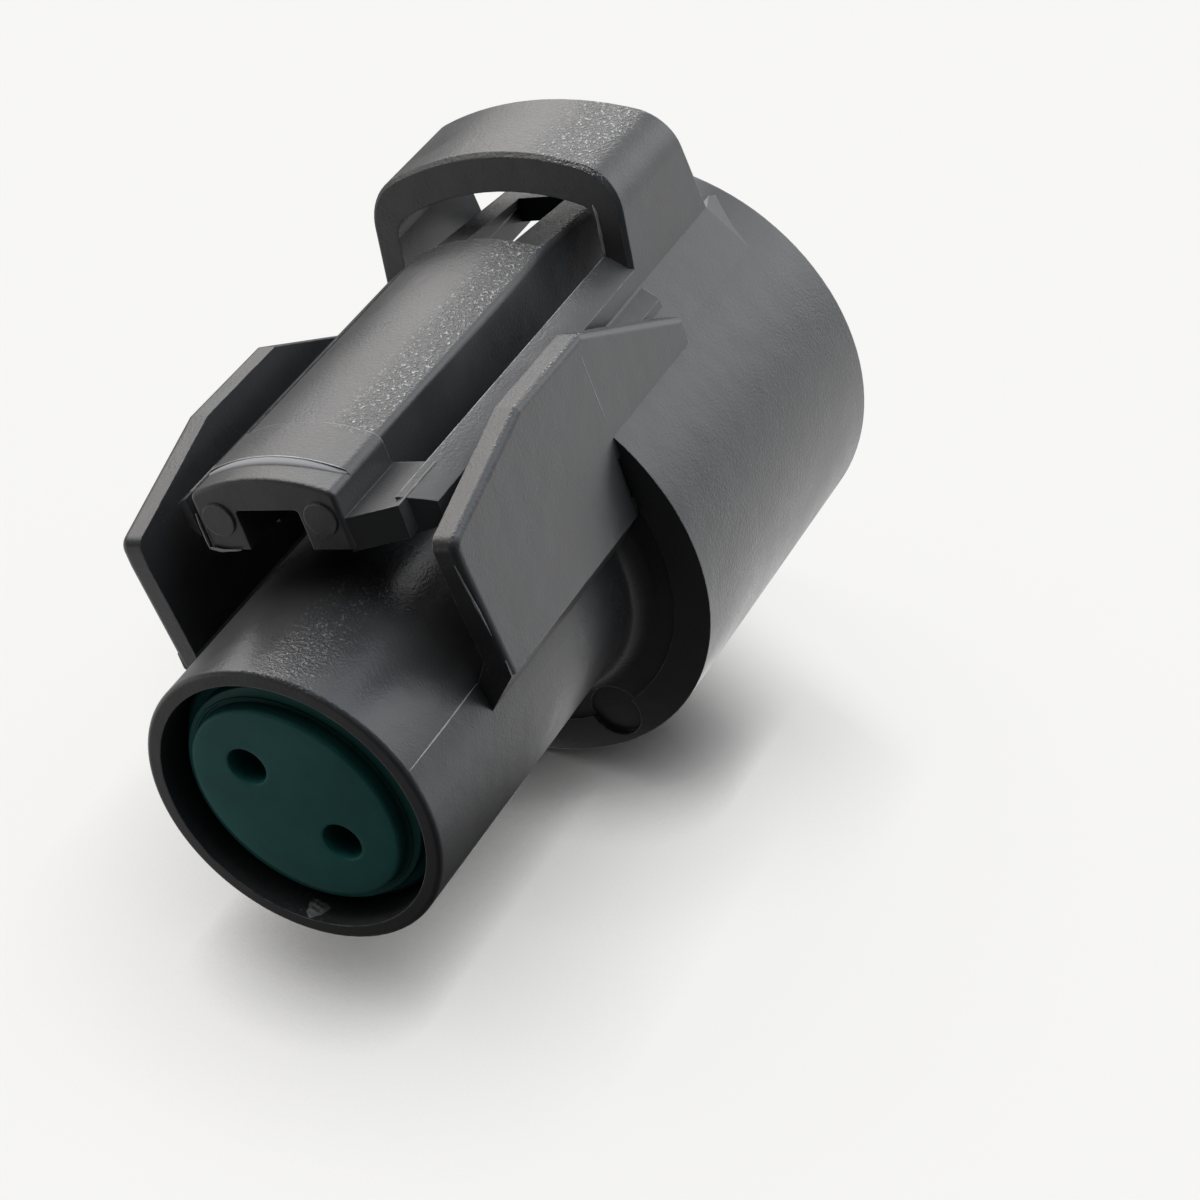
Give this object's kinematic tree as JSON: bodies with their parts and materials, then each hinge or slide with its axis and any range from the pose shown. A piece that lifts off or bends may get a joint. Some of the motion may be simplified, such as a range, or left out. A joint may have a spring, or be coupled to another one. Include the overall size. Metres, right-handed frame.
{
  "type": "automotive sensor connector",
  "caption": "Round sealed sensor connector with a latch arm under a bridge, side guard wings, a wire seal and crimp contacts.",
  "frame": {"origin": "centre of the mating mouth, on the plane of the sleeve's open end", "axes": "+Y along the sleeve's axis and out of the mouth, -Y to the wire end; +Z to the latch; +X to the right, seen from the wire end"},
  "size_m": [0.0246, 0.0408, 0.03],
  "materials": {
    "housing_plastic": "moulded, fine spark-eroded texture",
    "wire_seal_rubber": "soft silicone, satin",
    "interface_seal_rubber": "soft silicone, satin",
    "retainer_plastic": "moulded, satin",
    "contact_metal": "bright tin plating on copper alloy"
  },
  "bodies": {
    "root": {"housing": "housing_plastic", "wire_seal": "wire_seal_rubber", "interface_seal": "interface_seal_rubber", "front_retainer": "retainer_plastic", "contact_upper": "contact_metal", "contact_lower": "contact_metal"}
  },
  "joints": []
}
